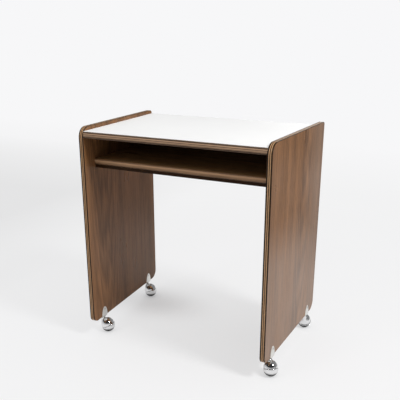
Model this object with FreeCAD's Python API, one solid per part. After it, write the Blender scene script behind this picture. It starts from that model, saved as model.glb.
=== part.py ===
import FreeCAD, Part

import math
import os

# A typewriter table on four ball casters.
#
# Two plywood side panels stand on casters and carry a laminated worktop and, below it,
# an open bay with a shelf, a stiffening rail and a back panel. Dowels and cam fittings
# hold the boards between the side panels.
#
# The side panels toe out: the table is wider at the back than at the front.
#
# Millimetres. +X is to the right, +Y to the back, +Z up, and Z = 0 is the floor.
# The origin is the floor point midway between the side panels, at half their depth.

# ---- Table -------------------------------------------------------------------------

front_width = 591.0  # over the side panels' front edges
rear_width = 627.0  # over the side panels' rear edges
panel_depth = 420.0
table_height = 680.0

# ---- Side panels -------------------------------------------------------------------

panel_thickness = 16.0
panel_bottom = 56.0
panel_arris = 1.2
corner_front_top = 30.0
corner_front_bottom = 20.0
corner_rear_bottom = 28.0
corner_rear_top = 8.0

# ---- Worktop -----------------------------------------------------------------------

worktop_recess = 10.7  # how far the side panels stand above the worktop
worktop_front_setback = 0.8
worktop_rear_setback = 0.5
laminate_thickness = 1.2
core_thickness = 17.0
backing_thickness = 0.8

# ---- Bay: shelf, rail and back panel ---------------------------------------------------

bay_height = 70.5
shelf_thickness = 17.5
shelf_front_setback = 52.5
shelf_top_round = 3.0
shelf_bottom_round = 5.5
rail_height = 9.5
rail_depth = 18.0
rail_setback = 5.0
back_thickness = 10.0
back_inset = 7.0

# ---- Joinery -------------------------------------------------------------------------

wood_clearance = 0.05  # radial, round dowels, pins, sleeves and screws
end_room = 0.5  # at the blind end of every bore

dowel_radius = 4.0
dowel_in_panel = 10.0
dowel_in_board = 20.0
dowel_margin = 32.0  # from a board's front and rear edges

back_dowel_radius = 3.0
back_dowel_in_panel = 8.0
back_dowel_in_board = 12.0
back_dowel_spread = 20.0

cam_radius = 7.5
cam_above_pin = 3.5
cam_backset = 24.0
cam_margin = 82.0  # from a board's front and rear edges
cam_slot_width = 1.4
cam_slot_depth = 2.0
pin_thread_radius = 2.5
pin_thread_length = 10.0
pin_shank_radius = 3.4
pin_neck_radius = 1.9
pin_neck_length = 6.0
pin_head_radius = 2.9
pin_head_length = 4.0
pin_head_room = 0.3

screw_head_radius = 3.5
screw_head_height = 2.5
screw_radius = 1.75
screw_slot_width = 0.9
screw_slot_depth = 1.1
rail_screw_length = 22.0
rail_screw_count = 4
rail_screw_margin = 60.0
back_screw_length = 32.0
back_screw_count = 3
back_screw_margin = 80.0

# ---- Casters ---------------------------------------------------------------------------

stem_inset = 59.5  # from the panel's front and rear edges
trail = 16.5  # from the stem's axis to the wheel's centre
wheel_radius = 22.0
wheel_wall = 2.0
wheel_rim_height = 0.5  # the wheel's open rim, along the axle from its centre
hub_radius = 6.0
hub_height = 0.0
axle_tilt = 25.0  # degrees from upright, towards the stem
axle_radius = 3.0
axle_depth = 15.0  # below the wheel's centre, along the axle
axle_rise = 17.5  # above the wheel's centre, along the axle
running_clearance = 0.05
loose_clearance = 0.3
retainer_radius = 4.5
retainer_thickness = 1.0
retainer_depth = 11.5
ring_groove_depth = 0.7

hood_radius = 21.0
hood_wall = 2.0
hood_rise = 4.0  # the hood's centre, along the axle from the wheel's centre
hood_skirt = 2.7
axle_boss_radius = 5.0
axle_boss_gap = 0.6
stem_boss_radius = 6.5
stem_boss_top = 48.2
stem_boss_length = 18.2

stem_radius = 4.0
stem_foot_room = 1.0
stem_collar_radius = 6.2
stem_collar_gap = 0.3
stem_top = 67.5
stem_tip_chamfer = 1.0
grip_ring_height = 62.0
grip_ring_thickness = 1.2
grip_ring_radius = 4.6

socket_wall = 1.45
socket_rise = 14.0  # how far the socket reaches into the panel

saddle_bottom = 49.0
saddle_boss_radius = 7.0
saddle_boss_spread = 11.0
saddle_foot = 4.5  # thickness under the panel, outside the boss
saddle_foot_round = 2.0
saddle_shoulder_round = 3.0
ear_top = 88.0
ear_width = 30.0
ear_bulge = 4.0
ear_tip_thickness = 1.0
ear_crown = 23.5  # half the crown's ellipse across the ear
ear_shoulder = 2.0  # where the ears begin to taper, above the panel's bottom
ear_screw_height = 80.0
ear_screw_length = 9.0

# Direction in which each wheel trails, in degrees from +X, seen from above.
casters = {
    "front_left": (-1, -1, 17.0),
    "front_right": (1, -1, -56.0),
    "rear_left": (-1, 1, -1.0),
    "rear_right": (1, 1, 101.0),
}

# ---- Places worked out from the sizes ----------------------------------------------------

half_width = (front_width + rear_width) / 4  # at half depth
inner_x = half_width - panel_thickness
side_x = half_width - panel_thickness / 2
front_y = -panel_depth / 2
rear_y = panel_depth / 2
toe_angle = math.degrees(math.asin((rear_width - front_width) / 2 / panel_depth))

worktop_top = table_height - worktop_recess
core_top = worktop_top - laminate_thickness
core_bottom = core_top - core_thickness
worktop_bottom = core_bottom - backing_thickness
worktop_y = (front_y + worktop_front_setback, rear_y - worktop_rear_setback)

shelf_top = worktop_bottom - bay_height
shelf_bottom = shelf_top - shelf_thickness
back_y = (rear_y - back_inset - back_thickness, rear_y - back_inset)
shelf_y = (front_y + shelf_front_setback, back_y[0])
rail_y = (shelf_y[0] + rail_setback, shelf_y[0] + rail_setback + rail_depth)
rail_bottom = shelf_bottom - rail_height

X = FreeCAD.Vector(1, 0, 0)
Y = FreeCAD.Vector(0, 1, 0)
Z = FreeCAD.Vector(0, 0, 1)
sides = (-1, 1)


# ---- Helpers -----------------------------------------------------------------------------


def point(x, y, z):
    return FreeCAD.Vector(x, y, z)


def block(x, y, z):
    """A box between three pairs of low and high coordinates."""
    return Part.makeBox(x[1] - x[0], y[1] - y[0], z[1] - z[0], point(x[0], y[0], z[0]))


def rounded_face(corners):
    """A flat face from (corner, radius) pairs, each corner rounded by an arc."""
    count = len(corners)
    edges = []
    arcs = []
    for index, (corner, radius) in enumerate(corners):
        before = (corners[index - 1][0] - corner).normalize()
        after = (corners[(index + 1) % count][0] - corner).normalize()
        half_angle = before.getAngle(after) / 2
        reach = radius / math.tan(half_angle)
        inwards = (before + after).normalize()
        middle = corner + inwards * (radius / math.sin(half_angle) - radius)
        arcs.append((corner + before * reach, middle, corner + after * reach))
    for index, (start, middle, end) in enumerate(arcs):
        if corners[index][1] > 0:
            edges.append(Part.Arc(start, middle, end).toShape())
        edges.append(Part.makeLine(end, arcs[(index + 1) % count][0]))
    return Part.Face(Part.Wire(edges))


def turned(start, direction, steps):
    """A turned pin: (radius, length) steps, one after the other."""
    pieces = []
    for radius, length in steps:
        pieces.append(Part.makeCylinder(radius, length, start, direction))
        start = start + direction * length
    return pieces[0].multiFuse(pieces[1:]).removeSplitter()


def together(shapes):
    return Part.makeCompound(shapes)


def spread(low, high, count):
    """Evenly spaced places from low to high."""
    return [low + (high - low) * index / (count - 1) for index in range(count)]


def toed(shape, side):
    """Turns a shape that is made square to the table into line with a side panel."""
    shape.rotate(point(side * inner_x, 0, 0), Z, -side * toe_angle)
    return shape


def toed_point(place, side):
    pivot = point(side * inner_x, 0, 0)
    return pivot + FreeCAD.Rotation(Z, -side * toe_angle).multVec(place - pivot)


def save(node, shape):
    shape.exportStep("parts/" + node + ".step")


# ---- Dowels ------------------------------------------------------------------------------


def dowel_row(ys, zs, radius, in_panel, in_board):
    """Dowels across both joints between a board and the side panels."""
    row = []
    for side in sides:
        for y in ys:
            for z in zs:
                start = point(side * (inner_x - in_board), y, z)
                dowel = Part.makeCylinder(radius, in_board + in_panel, start, X * side)
                row.append(toed(dowel, side))
    return row


def dowel_bores(ys, zs, radius, in_panel, in_board):
    bore_radius = radius + wood_clearance
    return dowel_row(ys, zs, bore_radius, in_panel + end_room, in_board + end_room)


board_dowel = (dowel_radius, dowel_in_panel, dowel_in_board)
back_dowel = (back_dowel_radius, back_dowel_in_panel, back_dowel_in_board)

worktop_middle = (core_top + core_bottom) / 2
shelf_middle = (shelf_top + shelf_bottom) / 2
bay_middle = (worktop_bottom + shelf_top) / 2
back_middle_y = (back_y[0] + back_y[1]) / 2
back_dowel_z = (bay_middle - back_dowel_spread, bay_middle + back_dowel_spread)

worktop_dowel_y = spread(worktop_y[0] + dowel_margin, worktop_y[1] - dowel_margin, 3)
shelf_dowel_y = spread(shelf_y[0] + dowel_margin, shelf_y[1] - dowel_margin, 3)
worktop_dowel_places = (worktop_dowel_y, (worktop_middle,)) + board_dowel
shelf_dowel_places = (shelf_dowel_y, (shelf_middle,)) + board_dowel
back_dowel_places = ((back_middle_y,), back_dowel_z) + back_dowel


# ---- Cam fittings --------------------------------------------------------------------------


def cam_places(board_y):
    ys = (board_y[0] + cam_margin, board_y[1] - cam_margin)
    return [(side, y) for side in sides for y in ys]


def cam_pin(side, y, pin_z):
    """The pin that is screwed into the side panel and reaches into the cam."""
    shank = cam_backset - pin_neck_length + pin_head_length / 2 - pin_head_length
    steps = (
        (pin_thread_radius, pin_thread_length),
        (pin_shank_radius, shank),
        (pin_neck_radius, pin_neck_length),
        (pin_head_radius, pin_head_length),
    )
    pin = turned(point(side * (inner_x + pin_thread_length), y, pin_z), X * -side, steps)
    return toed(pin, side)


def cam(side, y, board_bottom, pin_z):
    """The round cam, with a pocket for the pin's head and a cross slot below."""
    x = side * (inner_x - cam_backset)
    height = pin_z + cam_above_pin - board_bottom
    body = Part.makeCylinder(cam_radius, height, point(x, y, board_bottom), Z)
    pocket_radius = pin_head_radius + pin_head_room
    pocket_reach = pin_head_length / 2 + pin_head_room
    pocket_start = point(x - side * pocket_reach, y, pin_z)
    pocket = Part.makeCylinder(pocket_radius, pocket_reach + cam_radius, pocket_start, X * side)
    slot_z = (board_bottom, board_bottom + cam_slot_depth)
    long_half = cam_radius * 0.6
    wide_half = cam_slot_width / 2
    slot_x = block((x - long_half, x + long_half), (y - wide_half, y + wide_half), slot_z)
    slot_y = block((x - wide_half, x + wide_half), (y - long_half, y + long_half), slot_z)
    return toed(body.cut([pocket, slot_x, slot_y]), side)


def cam_bores(board_y, board_bottom, pin_z):
    """What the cams and pins take out of a board and out of the side panels."""
    bores = []
    for side, y in cam_places(board_y):
        x = side * (inner_x - cam_backset)
        height = pin_z + cam_above_pin + end_room - board_bottom
        cam_bore = Part.makeCylinder(
            cam_radius + wood_clearance, height, point(x, y, board_bottom), Z
        )
        shank_bore = Part.makeCylinder(
            pin_shank_radius + wood_clearance, cam_backset, point(x, y, pin_z), X * side
        )
        thread_bore = Part.makeCylinder(
            pin_thread_radius + wood_clearance,
            pin_thread_length + end_room,
            point(side * inner_x, y, pin_z),
            X * side,
        )
        bores += [toed(bore, side) for bore in (cam_bore, shank_bore, thread_bore)]
    return bores


# ---- Screws --------------------------------------------------------------------------------


def screw_blank(place, direction, length, clearance):
    head = Part.makeCone(
        screw_head_radius + clearance,
        screw_radius + clearance,
        screw_head_height,
        place,
        direction,
    )
    shank_start = place + direction * screw_head_height
    shank_length = length - screw_head_height
    shank = Part.makeCylinder(screw_radius + clearance, shank_length, shank_start, direction)
    return head.fuse(shank)


def screw(place, direction, length, slot_along):
    """A slotted countersunk wood screw whose head lies at place."""
    slot_side = direction.cross(slot_along)
    corner = place - slot_along * screw_head_radius - slot_side * (screw_slot_width / 2)
    far = (
        slot_along * (2 * screw_head_radius)
        + slot_side * screw_slot_width
        + direction * screw_slot_depth
    )
    low = [min(corner[axis], (corner + far)[axis]) for axis in range(3)]
    high = [max(corner[axis], (corner + far)[axis]) for axis in range(3)]
    slot = block(*zip(low, high))
    return screw_blank(place, direction, length, 0).cut(slot)


def screw_bore(place, direction, length):
    return screw_blank(place, direction, length + end_room, wood_clearance)


rail_screw_xs = spread(
    -inner_x + rail_screw_margin, inner_x - rail_screw_margin, rail_screw_count
)
rail_screw_y = (rail_y[0] + rail_y[1]) / 2
rail_screws = [(point(x, rail_screw_y, rail_bottom), Z, rail_screw_length) for x in rail_screw_xs]

back_screw_xs = spread(
    -inner_x + back_screw_margin, inner_x - back_screw_margin, back_screw_count
)
back_screws = [(point(x, back_y[1], shelf_middle), -Y, back_screw_length) for x in back_screw_xs]


# ---- Side panels ---------------------------------------------------------------------------


def side_panel(side, bores):
    corners = (
        (point(0, front_y, panel_bottom), corner_front_bottom),
        (point(0, rear_y, panel_bottom), corner_rear_bottom),
        (point(0, rear_y, table_height), corner_rear_top),
        (point(0, front_y, table_height), corner_front_top),
    )
    panel = rounded_face(corners).extrude(X * panel_thickness)
    outline = [edge for edge in panel.Edges if edge.BoundBox.XLength < panel_thickness / 2]
    panel = panel.makeFillet(panel_arris, outline)
    panel.translate(point(inner_x if side > 0 else -half_width, 0, 0))
    return toed(panel, side).cut(bores)


# ---- Boards --------------------------------------------------------------------------------


def between_sides(shape):
    """Trims a board's ends to the side panels' inner faces."""
    outside = [
        toed(block((inner_x, rear_width), (-panel_depth, panel_depth), (0, table_height)), 1),
        toed(block((-rear_width, -inner_x), (-panel_depth, panel_depth), (0, table_height)), -1),
    ]
    return shape.cut(outside)


def board(y, z):
    return between_sides(block((-half_width, half_width), y, z))


def shelf_board():
    corners = (
        (point(-half_width, shelf_y[0], shelf_bottom), shelf_bottom_round),
        (point(-half_width, shelf_y[1], shelf_bottom), 0),
        (point(-half_width, shelf_y[1], shelf_top), 0),
        (point(-half_width, shelf_y[0], shelf_top), shelf_top_round),
    )
    return between_sides(rounded_face(corners).extrude(X * (2 * half_width)))


# ---- Casters -------------------------------------------------------------------------------


def stem_place(side, end):
    return toed_point(point(side * side_x, end * (panel_depth / 2 - stem_inset), 0), side)


def on_panel(shape, side, end):
    """Moves a shape made round +Z at the origin onto a side panel's bottom edge."""
    shape.rotate(point(0, 0, 0), Z, -side * toe_angle)
    shape.translate(stem_place(side, end))
    return shape


def on_axle(shape):
    """Moves a shape made round +Z at the origin onto the axle, ahead of a stem at X = 0."""
    shape.rotate(point(0, 0, 0), Y, -axle_tilt)
    shape.translate(point(trail, 0, wheel_radius))
    return shape


def upright(z_low, z_high, radius):
    return Part.makeCylinder(radius, z_high - z_low, point(0, 0, z_low), Z)


def slab_below(z_high, half):
    return block((-half, half), (-half, half), (-half, z_high))


def wheel():
    """A ball cup, open towards the hood, with a hub on the axle."""
    cup = Part.makeSphere(wheel_radius).common(slab_below(wheel_rim_height, wheel_radius + 1))
    hub = upright(-wheel_radius, hub_height, hub_radius)
    hollow = Part.makeSphere(wheel_radius - wheel_wall).cut(hub)
    bore = upright(-axle_depth - end_room, hub_height, axle_radius + running_clearance)
    groove_low = -retainer_depth - retainer_thickness - loose_clearance
    groove_high = -retainer_depth + loose_clearance
    groove = upright(groove_low, groove_high, retainer_radius + loose_clearance)
    return on_axle(cup.cut([hollow, bore, groove]))


def axle():
    steps = (
        (axle_radius, axle_depth - retainer_depth - retainer_thickness),
        (axle_radius - ring_groove_depth, retainer_thickness),
        (axle_radius, retainer_depth + axle_rise),
    )
    return on_axle(turned(point(0, 0, -axle_depth), Z, steps))


def retainer():
    low = -retainer_depth - retainer_thickness
    ring = upright(low, -retainer_depth, retainer_radius)
    hole = upright(low, -retainer_depth, axle_radius - ring_groove_depth)
    return on_axle(ring.cut(hole))


def dome(radius):
    """A half ball over a short skirt, round the axle."""
    centre = point(0, 0, hood_rise)
    ball = Part.makeSphere(radius, centre, Z, 0, 90, 360)
    skirt = upright(hood_rise - hood_skirt, hood_rise, radius)
    return ball.fuse(skirt)


def hood():
    """The fixed dome, with a boss for the axle and one for the stem."""
    outside = on_axle(dome(hood_radius))
    inside = on_axle(dome(hood_radius - hood_wall))
    axle_boss = on_axle(upright(hub_height + axle_boss_gap, hood_rise + hood_radius, axle_boss_radius))
    axle_boss = axle_boss.common(outside)
    stem_boss_bottom = stem_boss_top - stem_boss_length
    stem_boss = upright(stem_boss_bottom, stem_boss_top, stem_boss_radius)
    axle_bore = on_axle(upright(hub_height, axle_rise + end_room, axle_radius))
    stem_bore = upright(stem_boss_bottom, stem_boss_top, stem_radius)
    shell = outside.cut(inside)
    return shell.multiFuse([axle_boss, stem_boss]).cut([axle_bore, stem_bore]).removeSplitter()


def stem():
    """The swivel pin: foot in the hood, collar under the socket, groove for the grip ring."""
    foot = stem_boss_top - stem_boss_length + stem_foot_room
    collar_top = saddle_bottom - stem_collar_gap
    steps = (
        (stem_radius, stem_boss_top - foot),
        (stem_collar_radius, collar_top - stem_boss_top),
        (stem_radius, grip_ring_height - collar_top),
        (stem_radius - ring_groove_depth, grip_ring_thickness),
        (stem_radius, stem_top - grip_ring_height - grip_ring_thickness - stem_tip_chamfer),
    )
    pin = turned(point(0, 0, foot), Z, steps)
    tip_place = point(0, 0, stem_top - stem_tip_chamfer)
    tip = Part.makeCone(stem_radius, stem_radius - stem_tip_chamfer, stem_tip_chamfer, tip_place, Z)
    return pin.fuse(tip).removeSplitter()


def grip_ring():
    high = grip_ring_height + grip_ring_thickness
    ring = upright(grip_ring_height, high, grip_ring_radius)
    return ring.cut(upright(grip_ring_height, high, stem_radius - ring_groove_depth))


socket_bore = stem_radius + running_clearance
socket_radius = socket_bore + socket_wall
socket_top = panel_bottom + socket_rise


def socket():
    """The sleeve in the panel's bottom edge, with a groove that the grip ring snaps into."""
    sleeve = upright(saddle_bottom, socket_top, socket_radius)
    bore = upright(saddle_bottom, stem_top + end_room, socket_bore)
    groove_low = grip_ring_height - loose_clearance
    groove_high = grip_ring_height + grip_ring_thickness + loose_clearance
    groove = upright(groove_low, groove_high, grip_ring_radius + loose_clearance)
    return sleeve.cut([bore, groove])


def ear_outline():
    """The saddle seen from the side: a tall oval arch over a narrower foot."""
    half = ear_width / 2
    shoulder = panel_bottom + ear_shoulder
    foot = panel_bottom - saddle_foot
    oval = Part.Ellipse(point(0, 0, ear_top), point(0, half, shoulder), point(0, 0, shoulder))
    edges = [
        Part.ArcOfEllipse(oval, -math.pi / 2, math.pi / 2).toShape(),
        Part.makeLine(point(0, -half, shoulder), point(0, -saddle_boss_radius, foot)),
        Part.makeLine(point(0, -saddle_boss_radius, foot), point(0, saddle_boss_radius, foot)),
        Part.makeLine(point(0, saddle_boss_radius, foot), point(0, half, shoulder)),
    ]
    reach = panel_thickness / 2 + ear_bulge
    face = Part.Face(Part.Wire(edges))
    face.translate(point(-reach, 0, 0))
    return face.extrude(X * (2 * reach))


def ear_taper():
    """The saddle seen from the front: thick at the panel's bottom edge, thin at the tips."""
    half = ear_width / 2
    thick = panel_thickness / 2 + ear_bulge
    thin = panel_thickness / 2 + ear_tip_thickness
    shoulder = panel_bottom + ear_shoulder
    foot = panel_bottom - saddle_foot
    corners = (
        (point(-saddle_boss_spread, -half, foot), saddle_foot_round),
        (point(saddle_boss_spread, -half, foot), saddle_foot_round),
        (point(thick, -half, shoulder), saddle_shoulder_round),
        (point(thin, -half, ear_top), 0),
        (point(-thin, -half, ear_top), 0),
        (point(-thick, -half, shoulder), saddle_shoulder_round),
    )
    return rounded_face(corners).extrude(Y * ear_width)


def crown():
    """An upright oval bar that rounds the ears' outer faces."""
    low = saddle_bottom
    thick = panel_thickness / 2 + ear_bulge
    oval = Part.Face(Part.Wire(Part.Ellipse(point(0, 0, low), ear_crown, thick).toShape()))
    oval.rotate(point(0, 0, 0), Z, 90)
    return oval.extrude(Z * (ear_top - low))


def ear_screws():
    """Place and direction of the two screws of a saddle, one through each ear."""
    shoulder = panel_bottom + ear_shoulder
    share = (ear_screw_height - shoulder) / (ear_top - shoulder)
    proud = ear_bulge + (ear_tip_thickness - ear_bulge) * share
    reach = panel_thickness / 2 + proud
    return [(point(side * reach, 0, ear_screw_height), X * -side) for side in sides]


def saddle():
    ears = ear_outline().common(ear_taper()).common(crown())
    boss_height = panel_bottom - saddle_bottom
    boss = Part.makeCone(
        saddle_boss_radius, saddle_boss_spread, boss_height, point(0, 0, saddle_bottom), Z
    )
    half_slot = panel_thickness / 2
    slot = block((-half_slot, half_slot), (-ear_width, ear_width), (panel_bottom, ear_top + 1))
    sleeve_bore = upright(saddle_bottom, panel_bottom, socket_radius + wood_clearance)
    screw_bores = [
        screw_bore(place, direction, ear_screw_length) for place, direction in ear_screws()
    ]
    return ears.fuse(boss).removeSplitter().cut([slot, sleeve_bore] + screw_bores)


def panel_caster_bores(side):
    """What the sockets and ear screws take out of one side panel."""
    bores = []
    for own_side, end, _ in casters.values():
        if own_side == side:
            sleeve_radius = socket_radius + wood_clearance
            tools = [upright(panel_bottom, socket_top + end_room, sleeve_radius)]
            for place, direction in ear_screws():
                tools.append(screw_bore(place, direction, ear_screw_length))
            bores += [on_panel(tool, side, end) for tool in tools]
    return bores


# ---- The table -----------------------------------------------------------------------------

os.makedirs("parts", exist_ok=True)

all_dowel_bores = (
    dowel_bores(*worktop_dowel_places)
    + dowel_bores(*shelf_dowel_places)
    + dowel_bores(*back_dowel_places)
)
worktop_cam_bores = cam_bores(worktop_y, worktop_bottom, worktop_middle)
shelf_cam_bores = cam_bores(shelf_y, shelf_bottom, shelf_middle)
rail_screw_bores = [screw_bore(*place) for place in rail_screws]
back_screw_bores = [screw_bore(*place) for place in back_screws]

for side, name in zip(sides, ("left_side_panel", "right_side_panel")):
    bores = all_dowel_bores + worktop_cam_bores + shelf_cam_bores + panel_caster_bores(side)
    save(name, side_panel(side, bores))

worktop_bores = dowel_bores(*worktop_dowel_places) + worktop_cam_bores
save("worktop_laminate", board(worktop_y, (core_top, worktop_top)))
save("worktop_core", board(worktop_y, (core_bottom, core_top)).cut(worktop_bores))
save("worktop_backing", board(worktop_y, (worktop_bottom, core_bottom)).cut(worktop_cam_bores))

shelf_bores = dowel_bores(*shelf_dowel_places) + shelf_cam_bores
save("shelf_board", shelf_board().cut(shelf_bores + rail_screw_bores + back_screw_bores))
save("shelf_front_rail", board(rail_y, (rail_bottom, shelf_bottom)).cut(rail_screw_bores))
back = board(back_y, (shelf_bottom, worktop_bottom))
save("back_panel", back.cut(dowel_bores(*back_dowel_places) + back_screw_bores))

save("worktop_dowels", together(dowel_row(*worktop_dowel_places)))
save("shelf_dowels", together(dowel_row(*shelf_dowel_places)))
save("back_dowels", together(dowel_row(*back_dowel_places)))

for name, board_y, board_bottom, pin_z in (
    ("worktop", worktop_y, worktop_bottom, worktop_middle),
    ("shelf", shelf_y, shelf_bottom, shelf_middle),
):
    places = cam_places(board_y)
    save(name + "_cams", together([cam(*place, board_bottom, pin_z) for place in places]))
    save(name + "_cam_pins", together([cam_pin(*place, pin_z) for place in places]))

save("rail_screws", together([screw(*place, X) for place in rail_screws]))
save("back_screws", together([screw(*place, X) for place in back_screws]))

saddle_screws = []
for name, (side, end, heading) in casters.items():
    save(name + "_saddle", on_panel(saddle(), side, end))
    save(name + "_socket", on_panel(socket(), side, end))
    for piece, shape in (
        ("stem", stem()),
        ("grip_ring", grip_ring()),
        ("hood", hood()),
        ("axle", axle()),
        ("retainer", retainer()),
        ("wheel", wheel()),
    ):
        shape.rotate(point(0, 0, 0), Z, heading)
        shape.translate(stem_place(side, end))
        save(name + "_" + piece, shape)
    for place, direction in ear_screws():
        screw_shape = screw(place, direction, ear_screw_length, Z)
        saddle_screws.append(on_panel(screw_shape, side, end))
save("saddle_screws", together(saddle_screws))
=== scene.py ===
import math

import bmesh
import bpy
from mathutils import Matrix, Vector


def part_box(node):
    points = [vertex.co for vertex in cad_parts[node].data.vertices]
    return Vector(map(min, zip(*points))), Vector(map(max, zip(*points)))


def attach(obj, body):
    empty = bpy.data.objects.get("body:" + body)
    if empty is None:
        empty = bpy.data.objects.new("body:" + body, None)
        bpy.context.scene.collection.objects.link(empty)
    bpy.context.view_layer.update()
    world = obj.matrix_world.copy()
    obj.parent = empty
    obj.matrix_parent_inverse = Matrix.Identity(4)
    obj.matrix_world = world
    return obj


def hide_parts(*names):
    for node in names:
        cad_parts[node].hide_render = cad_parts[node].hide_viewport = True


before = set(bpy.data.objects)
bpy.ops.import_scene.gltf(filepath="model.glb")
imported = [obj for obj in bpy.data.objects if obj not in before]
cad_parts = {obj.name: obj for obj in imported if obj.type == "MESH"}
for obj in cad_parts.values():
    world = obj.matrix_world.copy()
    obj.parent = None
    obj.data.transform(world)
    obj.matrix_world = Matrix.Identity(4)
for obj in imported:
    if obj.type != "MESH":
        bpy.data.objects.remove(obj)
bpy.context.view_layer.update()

# A typewriter table on four ball casters, dressed round its CAD frame. Metres.
# +X is to the right, +Y to the back, +Z up, and Z = 0 is the floor.

scene = bpy.context.scene

# ---- Sizes shared with the CAD part --------------------------------------------------

panel_thickness = 0.016
panel_depth = 0.420
front_width = 0.591
rear_width = 0.627
half_width = (front_width + rear_width) / 4
inner_x = half_width - panel_thickness
side_x = half_width - panel_thickness / 2
toe = math.asin((rear_width - front_width) / 2 / panel_depth)

panel_bottom = 0.056
stem_inset = 0.0595

saddle_bottom = 0.049
saddle_neck_radius = 0.007
ear_shoulder = 0.058
ear_top = 0.088
ear_width = 0.030
ear_bulge = 0.004
ear_tip_thickness = 0.001
ear_screw_height = 0.080

trail = 0.0165
axle_tilt = math.radians(25)
wheel_radius = 0.022
wheel_wall = 0.002
wheel_rim_height = 0.0009
hub_radius = 0.006
hub_height = 0.0
axle_radius = 0.003
axle_bore_depth = 0.0155
hood_radius = 0.021
hood_wall = 0.002
hood_rise = 0.004
hood_rim_height = 0.0012
neck_radius = 0.0065
neck_top = 0.0482
neck_bottom = 0.032

# Name: side, end and the direction in which the wheel trails, in degrees from +X.
casters = {
    "front_left": (-1, -1, 17.0),
    "front_right": (1, -1, -56.0),
    "rear_left": (-1, 1, -1.0),
    "rear_right": (1, 1, 101.0),
}


def toed(side):
    """Turns a shape that is square to the table into line with a side panel."""
    pivot = Vector((side * inner_x, 0, 0))
    turn = Matrix.Rotation(-side * toe, 4, "Z")
    return Matrix.Translation(pivot) @ turn @ Matrix.Translation(-pivot)


def stem_place(side, end):
    return toed(side) @ Vector((side * side_x, end * (panel_depth / 2 - stem_inset), 0))


# ---- Node helpers --------------------------------------------------------------------


def add(tree, kind, sockets=None, **settings):
    """A new node. A socket's entry is a value, or the output that feeds it."""
    node = tree.nodes.new(kind)
    for name, value in settings.items():
        setattr(node, name, value)
    for name, value in (sockets or {}).items():
        if isinstance(value, bpy.types.NodeSocket):
            tree.links.new(value, node.inputs[name])
        else:
            node.inputs[name].default_value = value
    return node


def maths(tree, operation, *values, clamp=False):
    sockets = dict(enumerate(values))
    return add(tree, "ShaderNodeMath", sockets, operation=operation, use_clamp=clamp).outputs[0]


def vector_maths(tree, operation, *values):
    sockets = dict(enumerate(values))
    outputs = add(tree, "ShaderNodeVectorMath", sockets, operation=operation).outputs
    return outputs["Value" if operation == "LENGTH" else "Vector"]


def mixed(tree, factor, first, second):
    """Two colours mixed."""
    node = add(tree, "ShaderNodeMix", data_type="RGBA")
    for index, value in ((0, factor), (6, first), (7, second)):
        if isinstance(value, bpy.types.NodeSocket):
            tree.links.new(value, node.inputs[index])
        else:
            node.inputs[index].default_value = value
    return node.outputs[2]


def stretched(tree, vector, scale, offset=(0, 0, 0)):
    sockets = {"Vector": vector, "Scale": scale, "Location": offset}
    return add(tree, "ShaderNodeMapping", sockets).outputs[0]


def noise(tree, vector, scale, detail=2.0, roughness=0.5, distortion=0.0):
    sockets = {
        "Vector": vector,
        "Scale": scale,
        "Detail": detail,
        "Roughness": roughness,
        "Distortion": distortion,
    }
    return add(tree, "ShaderNodeTexNoise", sockets).outputs[0]


def remapped(tree, value, low, high, to_low=0.0, to_high=1.0):
    sockets = {
        "Value": value,
        "From Min": low,
        "From Max": high,
        "To Min": to_low,
        "To Max": to_high,
    }
    return add(tree, "ShaderNodeMapRange", sockets, clamp=True).outputs[0]


def ramp(tree, value, stops, interpolation="LINEAR"):
    node = add(tree, "ShaderNodeValToRGB", {"Fac": value})
    node.color_ramp.interpolation = interpolation
    elements = node.color_ramp.elements
    while len(elements) < len(stops):
        elements.new(0.5)
    for element, (place, colour) in zip(elements, stops):
        element.position = place
        element.color = colour
    return node.outputs[0]


def rgb(red, green, blue):
    return (red, green, blue, 1.0)


def new_group(name, inputs, outputs):
    """A shader node group; inputs map a name to its default value."""
    tree = bpy.data.node_groups.new(name, "ShaderNodeTree")
    for label, default in inputs.items():
        kind = "NodeSocketFloat"
        if isinstance(default, tuple):
            kind = "NodeSocketColor" if len(default) == 4 else "NodeSocketVector"
        socket = tree.interface.new_socket(label, in_out="INPUT", socket_type=kind)
        socket.default_value = default
    for label, kind in outputs.items():
        tree.interface.new_socket(label, in_out="OUTPUT", socket_type=kind)
    return tree, tree.nodes.new("NodeGroupInput").outputs, tree.nodes.new("NodeGroupOutput").inputs


def use(tree, group, **sockets):
    node = tree.nodes.new("ShaderNodeGroup")
    node.node_tree = group
    for name, value in sockets.items():
        entry = node.inputs[name.replace("_", " ")]
        if isinstance(value, bpy.types.NodeSocket):
            tree.links.new(value, entry)
        else:
            entry.default_value = value
    return node.outputs


# ---- Shader groups -------------------------------------------------------------------


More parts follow.
